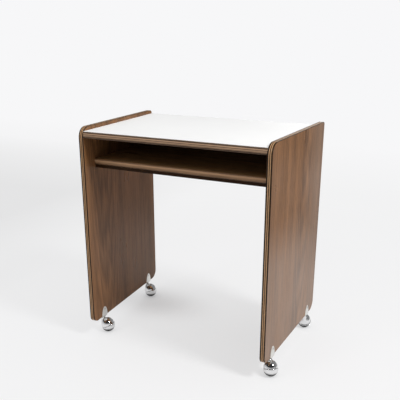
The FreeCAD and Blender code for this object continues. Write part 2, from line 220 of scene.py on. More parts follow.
def wood_grain_group():
    """Straight-grained veneer. The grain runs along Z of the vector, in metres."""
    tree, given, out = new_group(
        "wood_grain",
        {
            "Vector": (0.0, 0.0, 0.0),
            "Dark": rgb(0.1, 0.05, 0.03),
            "Light": rgb(0.3, 0.2, 0.1),
            "Pore": rgb(0.05, 0.03, 0.02),
            "Figure": 0.5,
        },
        {"Color": "NodeSocketColor", "Roughness": "NodeSocketFloat", "Height": "NodeSocketFloat"},
    )
    vector = given["Vector"]
    sway = noise(tree, stretched(tree, vector, (5, 5, 1.6)), 1.0, 2.0)
    sway = maths(tree, "MULTIPLY", maths(tree, "SUBTRACT", sway, 0.5), 0.03)
    shift = add(tree, "ShaderNodeCombineXYZ", {"Y": sway}).outputs[0]
    flowing = vector_maths(tree, "ADD", vector, shift)
    broad = noise(tree, stretched(tree, flowing, (26, 26, 0.9)), 1.0, 2.0, 0.55)
    medium = noise(tree, stretched(tree, flowing, (190, 190, 4.2)), 1.0, 3.0, 0.65)
    fine = noise(tree, stretched(tree, flowing, (520, 520, 15)), 1.0, 2.0, 0.6)
    grown = maths(tree, "MULTIPLY", broad, 0.40)
    grown = maths(tree, "MULTIPLY_ADD", medium, 0.34, grown)
    grown = maths(tree, "MULTIPLY_ADD", fine, 0.26, grown)
    # Cathedral figure: rings cut at a slant, which show as long pointed arches.
    parts = add(tree, "ShaderNodeSeparateXYZ", {0: flowing}).outputs
    across = maths(tree, "MULTIPLY", maths(tree, "POWER", parts[1], 2.0), 520.0)
    rings = maths(tree, "MULTIPLY_ADD", parts[2], -7.0, across)
    rings = maths(tree, "MULTIPLY_ADD", broad, 3.0, rings)
    ring = maths(tree, "PINGPONG", rings, 0.5)
    arch = remapped(tree, ring, 0.0, 0.5, 0.0, 1.0)
    arch = maths(tree, "MULTIPLY", maths(tree, "SUBTRACT", arch, 0.5), given["Figure"])
    fade = remapped(tree, across, 1.2, 4.5, 1.0, 0.0)
    grown = maths(tree, "MULTIPLY_ADD", arch, fade, grown)
    tone = remapped(tree, grown, 0.38, 0.63)
    colour = mixed(tree, tone, given["Dark"], given["Light"])
    pores = noise(tree, stretched(tree, flowing, (820, 820, 26)), 1.0, 1.0)
    pores = remapped(tree, pores, 0.58, 0.68)
    pores = maths(tree, "MULTIPLY", pores, remapped(tree, medium, 0.35, 0.6, 1.0, 0.25))
    colour = mixed(tree, maths(tree, "MULTIPLY", pores, 0.7), colour, given["Pore"])
    tree.links.new(colour, out["Color"])
    sheen = noise(tree, stretched(tree, vector, (14, 14, 5)), 1.0, 3.0)
    rough = remapped(tree, sheen, 0.3, 0.7, 0.27, 0.36)
    rough = maths(tree, "MULTIPLY_ADD", pores, 0.12, rough)
    tree.links.new(rough, out["Roughness"])
    height = maths(tree, "MULTIPLY_ADD", pores, -0.8, maths(tree, "MULTIPLY", fine, 0.5))
    tree.links.new(height, out["Height"])
    return tree


def plies_group():
    """The plies on a board's edge. Layer is 1 where the grain runs along the edge."""
    tree, given, out = new_group(
        "edge_plies",
        {
            "Layer": 0.0,
            "Vector": (0.0, 0.0, 0.0),
            "Long": rgb(0.25, 0.16, 0.1),
            "Cross": rgb(0.1, 0.05, 0.03),
        },
        {"Color": "NodeSocketColor", "Height": "NodeSocketFloat"},
    )
    streaks = noise(tree, stretched(tree, given["Vector"], (1300, 30, 30)), 1.0, 3.0, 0.6)
    patches = noise(tree, stretched(tree, given["Vector"], (300, 14, 14)), 1.0, 2.0)
    uneven = maths(tree, "MULTIPLY", maths(tree, "SUBTRACT", streaks, 0.5), 0.30)
    uneven = maths(tree, "MULTIPLY_ADD", maths(tree, "SUBTRACT", patches, 0.5), 0.50, uneven)
    layers = maths(tree, "ADD", given["Layer"], uneven, clamp=True)
    tree.links.new(mixed(tree, layers, given["Cross"], given["Long"]), out["Color"])
    tree.links.new(layers, out["Height"])
    return tree


def smudges_group():
    """Handling marks and fine scratches for polished metal and laminate."""
    tree, given, out = new_group(
        "smudges",
        {"Vector": (0.0, 0.0, 0.0), "Scale": 60.0, "Low": 0.1, "High": 0.3},
        {"Roughness": "NodeSocketFloat", "Height": "NodeSocketFloat"},
    )
    sockets = {0: given["Vector"], "Scale": given["Scale"]}
    scaled = add(tree, "ShaderNodeVectorMath", sockets, operation="SCALE").outputs[0]
    cloud = noise(tree, scaled, 1.0, 4.0, 0.6, 0.4)
    hair = noise(tree, stretched(tree, scaled, (4, 60, 9), (3, 1, 2)), 1.0, 1.0)
    hair = remapped(tree, hair, 0.62, 0.74)
    amount = maths(tree, "MULTIPLY_ADD", hair, 0.35, remapped(tree, cloud, 0.35, 0.75))
    spread = maths(tree, "SUBTRACT", given["High"], given["Low"])
    tree.links.new(maths(tree, "MULTIPLY_ADD", amount, spread, given["Low"]), out["Roughness"])
    tree.links.new(maths(tree, "MULTIPLY_ADD", hair, -0.6, cloud), out["Height"])
    return tree


wood_grain = wood_grain_group()
edge_plies = plies_group()
smudges = smudges_group()


# ---- Materials -----------------------------------------------------------------------

walnut_dark = rgb(0.120, 0.054, 0.020)
walnut_light = rgb(0.268, 0.127, 0.052)
walnut_pore = rgb(0.045, 0.020, 0.008)
# Painted sheen on the side panels' outer faces: how much pale grey, and which grey, stands in for
# the floor's reflection.
painted_sheen_level = 0.14
painted_sheen_grey = rgb(0.42, 0.40, 0.37)
ply_long = rgb(0.500, 0.295, 0.150)
ply_cross = rgb(0.012, 0.005, 0.002)
wood_relief = (0.00008, 0.6)  # depth in metres, and strength
wood_specular = 0.20
rail_specular = 0.08
laminate_skin = 0.0003
laminate_relief = (0.00002, 0.35)
laminate_specular = 0.2
backing_skin = 0.0005

# The layers through each board: place from face to face, and 1 for grain along the edge.
panel_layers = (
    (0.00, 0.10),
    (0.10, 0.0),
    (0.27, 0.0),
    (0.30, 0.90),
    (0.42, 1.0),
    (0.45, 0.0),
    (0.57, 0.0),
    (0.60, 1.0),
    (0.72, 1.0),
    (0.75, 0.0),
    (1.00, 0.0),
)
core_layers = (
    (0.00, 0.0),
    (0.16, 0.0),
    (0.19, 0.50),
    (0.26, 0.50),
    (0.29, 0.10),
    (0.33, 0.80),
    (0.45, 1.0),
    (0.48, 0.10),
    (0.55, 0.10),
    (0.58, 1.0),
    (0.76, 1.0),
    (0.79, 0.0),
    (0.89, 0.0),
    (0.92, 0.50),
    (1.00, 0.30),
)
shelf_layers = (
    (0.00, 0.0),
    (0.12, 0.05),
    (0.28, 0.45),
    (0.38, 0.60),
    (0.46, 0.50),
    (0.56, 0.95),
    (0.72, 1.0),
    (0.80, 0.60),
    (0.90, 0.30),
    (1.00, 0.20),
)


def layer_ramp(tree, depth, layers):
    stops = [(place, rgb(level, level, level)) for place, level in layers]
    return ramp(tree, depth, stops)


def new_material(name):
    material = bpy.data.materials.new(name)
    material.use_nodes = True
    tree = material.node_tree
    tree.nodes.clear()
    shader = tree.nodes.new("ShaderNodeBsdfPrincipled")
    output = tree.nodes.new("ShaderNodeOutputMaterial")
    tree.links.new(shader.outputs[0], output.inputs[0])
    place = tree.nodes.new("ShaderNodeTexCoord").outputs["Object"]
    return material, tree, shader.inputs, place


def relief(tree, shader, height, distance, strength):
    sockets = {"Height": height, "Distance": distance, "Strength": strength}
    tree.links.new(add(tree, "ShaderNodeBump", sockets).outputs[0], shader["Normal"])


def side_panel_material(side, flame_y, flame_z):
    """Walnut veneer on the faces, plies round the rounded edges."""
    name = "walnut_plywood_left" if side < 0 else "walnut_plywood_right"
    material, tree, shader, place = new_material(name)
    sockets = {
        "Vector": place,
        "Location": (side * inner_x, 0, 0),
        "Rotation": (0, 0, -side * toe),
    }
    local = add(tree, "ShaderNodeMapping", sockets, vector_type="TEXTURE").outputs[0]
    through, back, height_above = add(tree, "ShaderNodeSeparateXYZ", {0: local}).outputs
    depth = maths(tree, "DIVIDE", maths(tree, "ABSOLUTE", through), panel_thickness)
    centred = vector_maths(tree, "SUBTRACT", local, (side * 0.31, flame_y, flame_z))
    veneer = use(
        tree,
        wood_grain,
        Vector=centred,
        Dark=walnut_dark,
        Light=walnut_light,
        Pore=walnut_pore,
        Figure=0.14,
    )
    layer = layer_ramp(tree, depth, panel_layers)
    plies = use(tree, edge_plies, Layer=layer, Vector=local, Long=ply_long, Cross=ply_cross)
    off_middle = maths(tree, "ABSOLUTE", maths(tree, "SUBTRACT", depth, 0.5))
    on_face = remapped(tree, off_middle, 0.482, 0.490)
    # Painted sheen: pale grey mixed into the outer face low down and at the back, standing in for
    # the lacquer's reflection of the pale floor.
    painted_sheen_mask = remapped(tree, height_above, 0.46, 0.34, 0.0, painted_sheen_level)
    painted_sheen_mask = maths(tree, "MAXIMUM", painted_sheen_mask, remapped(tree, back, 0.02, 0.17, 0.0, painted_sheen_level))
    painted_sheen_mask = maths(tree, "MULTIPLY", painted_sheen_mask, remapped(tree, depth, 0.5, 0.6))
    veneer_colour = mixed(tree, painted_sheen_mask, veneer["Color"], painted_sheen_grey)
    tree.links.new(mixed(tree, on_face, plies["Color"], veneer_colour), shader["Base Color"])
    rough = remapped(tree, on_face, 0.0, 1.0, 0.30, 0.0)
    veneer_rough = maths(tree, "MULTIPLY", veneer["Roughness"], on_face)
    tree.links.new(maths(tree, "ADD", veneer_rough, rough), shader["Roughness"])
    height = maths(tree, "MULTIPLY", veneer["Height"], on_face)
    height = maths(tree, "MULTIPLY_ADD", plies["Height"], 0.6, height)
    relief(tree, shader, height, *wood_relief)
    shader["Specular IOR Level"].default_value = wood_specular
    return material


def lying(tree, place):
    """Places turned so that the grain runs across the table, and the height."""
    x, y, z = add(tree, "ShaderNodeSeparateXYZ", {0: place}).outputs
    return add(tree, "ShaderNodeCombineXYZ", {"X": z, "Y": y, "Z": x}).outputs[0], z


def board_material(
    name, bottom, thickness, dark, light, long_ply, cross_ply, layers, veneer=0.04
):
    """A horizontal plywood board whose grain runs across the table."""
    material, tree, shader, place = new_material(name)
    turned_place, height = lying(tree, place)
    depth = maths(tree, "DIVIDE", maths(tree, "SUBTRACT", height, bottom), thickness)
    grain = use(
        tree,
        wood_grain,
        Vector=turned_place,
        Dark=dark,
        Light=light,
        Pore=walnut_pore,
        Figure=0.1,
    )
    layer = layer_ramp(tree, depth, layers)
    plies = use(
        tree, edge_plies, Layer=layer, Vector=turned_place, Long=long_ply, Cross=cross_ply
    )
    off_middle = maths(tree, "ABSOLUTE", maths(tree, "SUBTRACT", depth, 0.5))
    on_face = remapped(tree, off_middle, 0.5 - veneer, 0.5 - veneer * 0.75)
    tree.links.new(mixed(tree, on_face, plies["Color"], grain["Color"]), shader["Base Color"])
    tree.links.new(grain["Roughness"], shader["Roughness"])
    relief(tree, shader, grain["Height"], *wood_relief)
    shader["Specular IOR Level"].default_value = wood_specular
    return material


# The rail under the shelf's front gets a near-black wood colour.
def near_black_rail_material():
    material, tree, shader, place = new_material("dark_stained_rail")
    turned_place, _ = lying(tree, place)
    grain = use(
        tree,
        wood_grain,
        Vector=turned_place,
        Dark=rgb(0.012, 0.005, 0.002),
        Light=rgb(0.036, 0.016, 0.006),
        Pore=rgb(0.010, 0.005, 0.003),
        Figure=0.0,
    )
    tree.links.new(grain["Color"], shader["Base Color"])
    tree.links.new(grain["Roughness"], shader["Roughness"])
    relief(tree, shader, grain["Height"], *wood_relief)
    shader["Specular IOR Level"].default_value = rail_specular
    return material


def laminate_material(name, top, face_colour, edge_colour, low, high):
    """A laminate sheet: a decorative skin over a darker pressed-paper core."""
    skin = laminate_skin
    material, tree, shader, place = new_material(name)
    height_above = add(tree, "ShaderNodeSeparateXYZ", {0: place}).outputs[2]
    inside = remapped(tree, height_above, top - skin * 1.1, top - skin)
    marks = use(tree, smudges, Vector=place, Scale=9.0, Low=low, High=high)
    speckle = noise(tree, place, 900.0, 2.0)
    cloud = noise(tree, place, 3.0, 3.0)
    tone = maths(tree, "MULTIPLY_ADD", speckle, 0.5, maths(tree, "MULTIPLY", cloud, 0.5))
    shade = tuple(channel * 0.965 for channel in face_colour[:3]) + (1.0,)
    skin_colour = mixed(tree, tone, shade, face_colour)
    tree.links.new(mixed(tree, inside, edge_colour, skin_colour), shader["Base Color"])
    tree.links.new(marks["Roughness"], shader["Roughness"])
    relief(tree, shader, speckle, *laminate_relief)
    shader["Specular IOR Level"].default_value = laminate_specular
    return material


def metal_material(name, colour, low, high, scale=45.0, metallic=1.0, bump=0.00001):
    material, tree, shader, place = new_material(name)
    marks = use(tree, smudges, Vector=place, Scale=scale, Low=low, High=high)
    worn = noise(tree, place, scale * 2.2, 3.0)
    dull = tuple(channel * 0.9 for channel in colour[:3]) + (1.0,)
    tree.links.new(mixed(tree, worn, dull, colour), shader["Base Color"])
    tree.links.new(marks["Roughness"], shader["Roughness"])
    shader["Metallic"].default_value = metallic
    relief(tree, shader, marks["Height"], bump, 0.5)
    return material


worktop_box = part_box("worktop_laminate")
core_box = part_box("worktop_core")
shelf_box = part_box("shelf_board")
backing_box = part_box("worktop_backing")
rail_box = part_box("shelf_front_rail")


def build_materials():
    core_thickness = core_box[1][2] - core_box[0][2]
    shelf_thickness = shelf_box[1][2] - shelf_box[0][2]
    back_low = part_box("back_panel")[0][2]
    return {
        "left_panel": side_panel_material(-1, -0.115, 0.130),
        "right_panel": side_panel_material(1, 0.060, 0.480),
        "core": board_material(
            "birch_plywood",
            core_box[0][2],
            core_thickness,
            dark=rgb(0.16, 0.10, 0.06),
            light=rgb(0.33, 0.22, 0.14),
            long_ply=rgb(0.47, 0.30, 0.185),
            cross_ply=rgb(0.030, 0.016, 0.009),
            layers=core_layers,
        ),
        "shelf": board_material(
            "shelf_plywood",
            shelf_box[0][2],
            shelf_thickness,
            dark=rgb(0.32, 0.165, 0.062),
            light=rgb(0.52, 0.285, 0.120),
            long_ply=rgb(0.450, 0.265, 0.145),
            cross_ply=rgb(0.050, 0.024, 0.010),
            layers=shelf_layers,
        ),
        "back": board_material(
            "back_plywood",
            back_low - 0.02,
            0.2,
            dark=walnut_dark,
            light=walnut_light,
            long_ply=ply_long,
            cross_ply=ply_cross,
            layers=panel_layers,
            veneer=0.5,
        ),
        "rail": near_black_rail_material(),
        "laminate": laminate_material(
            "white_laminate",
            worktop_box[1][2],
            face_colour=rgb(0.87, 0.87, 0.86),
            edge_colour=rgb(0.055, 0.032, 0.022),
            low=0.36,
            high=0.46,
        ),
        "backing": laminate_material(
            "backing_laminate",
            backing_box[0][2] + backing_skin,
            face_colour=rgb(0.040, 0.024, 0.016),
            edge_colour=rgb(0.034, 0.020, 0.014),
            low=0.45,
            high=0.6,
        ),
        "beech": board_material(
            "beech",
            0.0,
            1.0,
            dark=rgb(0.45, 0.30, 0.18),
            light=rgb(0.62, 0.45, 0.28),
            long_ply=rgb(0.5, 0.36, 0.22),
            cross_ply=rgb(0.4, 0.27, 0.16),
            layers=panel_layers,
            veneer=0.5,
        ),
        "zinc": metal_material("zinc", rgb(0.52, 0.53, 0.55), 0.38, 0.55),
        "steel": metal_material("plated_steel", rgb(0.62, 0.61, 0.60), 0.22, 0.40),
        "chrome": metal_material("chrome", rgb(0.86, 0.86, 0.865), 0.03, 0.09, bump=0.000003),
        "nickel": metal_material("satin_nickel", rgb(0.86, 0.85, 0.815), 0.32, 0.46),
    }


materials = build_materials()

node_finish = {
    "left_side_panel": "left_panel",
    "right_side_panel": "right_panel",
    "worktop_laminate": "laminate",
    "worktop_core": "core",
    "worktop_backing": "backing",
    "shelf_board": "shelf",
    "shelf_front_rail": "rail",
    "back_panel": "back",
    "worktop_dowels": "beech",
    "shelf_dowels": "beech",
    "back_dowels": "beech",
    "worktop_cams": "zinc",
    "shelf_cams": "zinc",
    "worktop_cam_pins": "steel",
    "shelf_cam_pins": "steel",
    "rail_screws": "steel",
    "back_screws": "steel",
    "saddle_screws": "steel",
}
caster_finish = {
    "saddle": "nickel",
    "socket": "steel",
    "stem": "steel",
    "grip_ring": "steel",
    "hood": "chrome",
    "axle": "steel",
    "retainer": "steel",
    "wheel": "chrome",
}
for corner in casters:
    for piece, finish in caster_finish.items():
        node_finish[f"{corner}_{piece}"] = finish

for node, finish in node_finish.items():
    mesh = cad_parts[node].data
    mesh.materials.clear()
    mesh.materials.append(materials[finish])


# ---- Mesh helpers --------------------------------------------------------------------


def loft(rings):
    """Skins rings of points, one after the other. A ring of one point closes an end."""
    points = []
    faces = []
    previous = None
    for ring in rings:
        current = range(len(points), len(points) + len(ring))
        points += ring
        if previous is not None:
            count = max(len(previous), len(current))
            for index in range(count):
                after = (index + 1) % count
                corners = [
                    previous[index % len(previous)],
                    previous[after % len(previous)],
                    current[after % len(current)],
                    current[index % len(current)],
                ]
                faces.append(tuple(dict.fromkeys(corners)))
        previous = current
    return points, faces


def turned(profile, sides):
    """A turned shape round +Z, from (radius, height) pairs that start and end on the axis."""
    rings = []
    for radius, height in profile:
        if radius == 0:
            rings.append([Vector((0, 0, height))])
            continue
        angles = [2 * math.pi * index / sides for index in range(sides)]
        ring = [Vector((radius * math.cos(a), radius * math.sin(a), height)) for a in angles]
        rings.append(ring)
    return loft(rings)


def arc(centre, radius, start, end, count):
    """Points of an arc in a profile, angles in degrees."""
    angles = [math.radians(start + (end - start) * index / count) for index in range(count + 1)]
    return [(centre[0] + radius * math.cos(a), centre[1] + radius * math.sin(a)) for a in angles]


def joined(shells):
    """Several closed shells as one list of points and one list of faces."""
    points = []
    faces = []
    for shell_points, shell_faces in shells:
        offset = len(points)
        points += shell_points
        faces += [tuple(index + offset for index in face) for face in shell_faces]
    return points, faces


weld_distance = 0.000002


def piece(name, shape, place, finish, sharp=40.0):
    """A piece of the table from a shape that is moved to its place in the mesh itself."""
    points, faces = shape
    mesh = bpy.data.meshes.new(name)
    mesh.from_pydata([place @ point for point in points], [], faces)
    build = bmesh.new()
    build.from_mesh(mesh)
    bmesh.ops.remove_doubles(build, verts=build.verts, dist=weld_distance)
    bmesh.ops.recalc_face_normals(build, faces=build.faces)
    build.to_mesh(mesh)
    build.free()
    mesh.shade_smooth()
    mesh.set_sharp_from_angle(angle=math.radians(sharp))
    mesh.materials.append(materials[finish])
    made = bpy.data.objects.new(name, mesh)
    scene.collection.objects.link(made)
    return made


def eased(share):
    share = min(max(share, 0.0), 1.0)
    return share * share * (3 - 2 * share)


# ---- Casters -------------------------------------------------------------------------

wheel_sides = 96
wheel_lip = 0.0007
wheel_lip_relief = 0.0001
hub_arris = 0.0004
axle_clearance = 0.00005

hood_sides = 144
hood_rows = 96
hood_lip = 0.0009
hood_heart = Vector((0.002, 0, 0.034))  # a place inside both the dome and the neck
hood_reach = 0.045  # further from the heart than any part of the hood
hood_least_step = 0.0001
hood_skirt_top = 0.0032  # heights along the axle
hood_skirt_rows = (0.0026, 0.0022)
neck_fillet = 0.006
neck_arris = 0.0007
boss_sides = 48
axle_boss_radius = 0.005
axle_boss_arris = 0.0004
axle_boss_gap = 0.0006
axle_boss_top = 0.022
stem_boss_bottom = 0.030
stem_boss_top = 0.040

saddle_sides = 96
saddle_arris = 0.0004
saddle_foot = 0.0005
saddle_squareness = 1.6  # added to the power of its outline, 2 for an ellipse
ear_edge_powers = (3.2, 0.45)
ear_fullness = 0.66
ear_ridge = 0.36
ear_ridge_blunt = 0.004
ear_tip_power = 9
ear_root = 0.0012  # how far the ears start below the panel's bottom edge

# From a caster's own place, where the stem's axis is Z, to the axle's.
on_axle = Matrix.Translation((trail, 0, wheel_radius)) @ Matrix.Rotation(-axle_tilt, 4, "Y")
on_axle_back = on_axle.inverted()


def wheel_shape():
    """A polished ball cup with a rolled rim and a hub."""
    rim_angle = math.degrees(math.asin((wheel_rim_height - wheel_lip) / wheel_radius))
    inside = wheel_radius - wheel_wall
    lip_centre = (wheel_radius - wheel_wall / 2, wheel_rim_height - wheel_lip)
    floor_angle = -math.degrees(math.acos(hub_radius / inside))
    bore = axle_radius + axle_clearance
    profile = [(0, -wheel_radius)]
    profile += arc((0, 0), wheel_radius, -88, rim_angle, 56)
    profile += arc(lip_centre, wheel_wall / 2 - wheel_lip_relief, 10, 170, 8)
    profile += arc((0, 0), inside, rim_angle - 1, floor_angle, 32)
    profile += arc((hub_radius - hub_arris, hub_height - hub_arris), hub_arris, 0, 90, 3)
    profile += [(bore, hub_height), (bore, -axle_bore_depth), (0, -axle_bore_depth)]
    points, faces = turned(profile, wheel_sides)
    return [on_axle @ point for point in points], faces


def neck_distance(place):
    """Distance to the upright neck that holds the stem."""
    radius = neck_radius - neck_arris
    middle = (neck_top + neck_bottom) / 2
    half = (neck_top - neck_bottom) / 2 - neck_arris
    out = math.hypot(place.x, place.y) - radius
    over = abs(place.z - middle) - half
    outside = math.hypot(max(out, 0.0), max(over, 0.0))
    return outside + min(max(out, over), 0.0) - neck_arris


def hood_distance(place):
    """Distance to the dome and its neck, with a fillet where they meet."""
    local = on_axle_back @ place
    local.z = max(local.z - hood_rise, 0.0)
    dome = local.length - hood_radius
    neck = neck_distance(place)
    near = max(neck_fillet - abs(dome - neck), 0.0) / neck_fillet
    return min(dome, neck) - near * near * neck_fillet / 4


def hood_skin(start, direction):
    """The outermost point of the hood along a ray from inside it."""
    high = low = hood_reach
    while True:
        gap = hood_distance(start + direction * low)
        if gap <= 0:
            break
        high = low
        low -= max(gap * 0.9, hood_least_step)
    for _ in range(12):
        middle = (low + high) / 2
        if hood_distance(start + direction * middle) > 0:
            high = middle
        else:
            low = middle
    return start + direction * low


def hood_shape():
    """A dome over the wheel, drawn up into the neck, with a rolled rim and an axle boss."""
    angles = [2 * math.pi * index / hood_sides for index in range(hood_sides)]
    circle = [Vector((math.cos(a), math.sin(a), 0)) for a in angles]
    # Rays start from the heart, so each meets the skin once.
    upwards = Vector((0, 0, 1))
    rings = [[hood_skin(hood_heart, upwards)]]
    skirt = [on_axle @ (hood_radius * out + hood_skirt_top * upwards) for out in circle]
    aims = [(place - hood_heart).normalized() for place in skirt]
    for row in range(1, hood_rows + 1):
        share = row / hood_rows
        rings.append([hood_skin(hood_heart, upwards.slerp(aim, share)) for aim in aims])
    turn = on_axle.to_3x3()
    for height in hood_skirt_rows:
        start = on_axle @ Vector((0, 0, height))
        rings.append([hood_skin(start, turn @ out) for out in circle])
    lip_centre = (hood_radius - hood_wall / 2, hood_rim_height + hood_lip)
    inner = hood_radius - hood_wall
    profile = arc(lip_centre, hood_wall / 2, 0, -180, 10)
    profile += arc((0, hood_rise), inner, 0, 88, 36)
    for radius, height in profile:
        rings.append([on_axle @ (radius * out + height * upwards) for out in circle])
    rings.append([on_axle @ Vector((0, 0, hood_rise + inner))])
    boss_foot = hub_height + axle_boss_gap
    boss = [
        (0, boss_foot),
        (axle_boss_radius - axle_boss_arris, boss_foot),
        (axle_boss_radius, boss_foot + axle_boss_arris),
        (axle_boss_radius, axle_boss_top),
        (0, axle_boss_top),
    ]
    boss_points, boss_faces = turned(boss, boss_sides)
    boss = ([on_axle @ point for point in boss_points], boss_faces)
    stem_boss = [
        (0, stem_boss_bottom),
        (neck_radius, stem_boss_bottom),
        (neck_radius, stem_boss_top),
        (0, stem_boss_top),
    ]
    return joined([loft(rings), boss, turned(stem_boss, boss_sides)])


def ear_profile(across):
    """How full the ear is, from 0 at its edges to 1 on its ridge."""
    outer, inner = ear_edge_powers
    edge = (1 - min(abs(across), 1.0) ** outer) ** inner
    ridge = 1 - math.sqrt(across * across + ear_ridge_blunt)
    return edge * (ear_fullness + ear_ridge * ridge)


def saddle_spread(height):
    """Half the saddle's width along the panel, and how far it stands off the panel's faces."""
    if height <= ear_shoulder:
        foot = saddle_bottom + saddle_foot
        share = eased((height - foot) / (ear_shoulder - foot))
        wide = saddle_neck_radius + (ear_width / 2 - saddle_neck_radius) * share
        full = panel_thickness / 2 + ear_bulge
        deep = saddle_neck_radius + (full - saddle_neck_radius) * share
        return wide, deep - panel_thickness / 2
    share = (height - ear_shoulder) / (ear_top - ear_shoulder)
    wide = ear_width / 2 * math.sqrt(max(1 - share * share, 0.0))
    proud = ear_bulge + (ear_tip_thickness - ear_bulge) * share
    return wide, proud * math.sqrt(max(1 - share**ear_tip_power, 0.0))


def saddle_shape():
    """A foot under the panel with an oval ear up each face."""
    half_slot = panel_thickness / 2
    rings = [[Vector((0, 0, saddle_bottom))]]
    for level in range(17):
        height = saddle_bottom + (panel_bottom - saddle_bottom) * level / 16
        wide, deep = saddle_spread(height)
        fill = eased((height - saddle_bottom) / (panel_bottom - saddle_bottom))
        ring = []
        power = 2 + saddle_squareness * fill
        for index in range(saddle_sides):
            angle = 2 * math.pi * index / saddle_sides
            east = abs(math.cos(angle)) / (half_slot + deep)
            north = abs(math.sin(angle)) / wide
            stretch = (east**power + north**power) ** (-1 / power)
            if level == 0:
                stretch -= saddle_arris
            ring.append(Vector((stretch * math.cos(angle), stretch * math.sin(angle), height)))
        rings.append(ring)
    rings.append([Vector((0, 0, panel_bottom))])
    shells = [loft(rings)]
    acrosses = [math.sin(math.radians(90 * index / 20)) for index in range(-20, 21)]
    root = panel_bottom - ear_root
    heights = [root + (ear_shoulder - root) * index / 4 for index in range(4)]
    heights += [
        ear_shoulder + (ear_top - ear_shoulder) * math.sin(math.radians(90 * index / 36))
        for index in range(37)
    ]
    for side in (-1, 1):
        rings = []
        for height in heights:
            wide, proud = saddle_spread(height)
            ring = [Vector((side * half_slot, y, height)) for y in (wide, 0, -wide)]
            for across in acrosses[1:-1]:
                out = half_slot + proud * ear_profile(across)
                ring.append(Vector((side * out, wide * across, height)))
            rings.append(ring)
        first = [sum(rings[0], Vector()) / len(rings[0])]
        shells.append(loft([first] + rings))
    return joined(shells)


caster_shapes = {
    "wheel": (wheel_shape(), "chrome", "_ball"),
    "hood": (hood_shape(), "chrome", "_caster"),
}
saddle_made = saddle_shape()

for corner, (side, end, heading) in casters.items():
    stand = Matrix.Translation(stem_place(side, end))
    swung = stand @ Matrix.Rotation(math.radians(heading), 4, "Z")
    for part_name, (shape, finish, body) in caster_shapes.items():
        made = piece(f"{corner}_polished_{part_name}", shape, swung, finish)
        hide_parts(f"{corner}_{part_name}")
        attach(made, corner + body)
    square = stand @ Matrix.Rotation(-side * toe, 4, "Z")
    made = piece(f"{corner}_satin_saddle", saddle_made, square, "nickel", 60.0)
    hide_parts(f"{corner}_saddle")
    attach(made, "table")


# ---- Screws --------------------------------------------------------------------------

screw_sizes = {
    "Head Radius": 0.0035,
    "Head Height": 0.0025,
    "Shank Radius": 0.00175,
    "Slot Width": 0.0009,
    "Slot Depth": 0.0011,
    "Thread Pitch": 0.0012,
    "Thread Depth": 0.0003,
    "Tip Length": 0.003,
}
ear_screw_length = 0.009
rail_screw_length = 0.022
back_screw_length = 0.032
rail_screw_count = 4
back_screw_count = 3
rail_screw_margin = 0.060
back_screw_margin = 0.080
screw_stand = 0.0004  # how far the ears' screws stand proud
screw_rings = 97
screw_sides = 28
screw_sharp = 35.0
head_edge = 0.0002
tip_blunt = 0.2


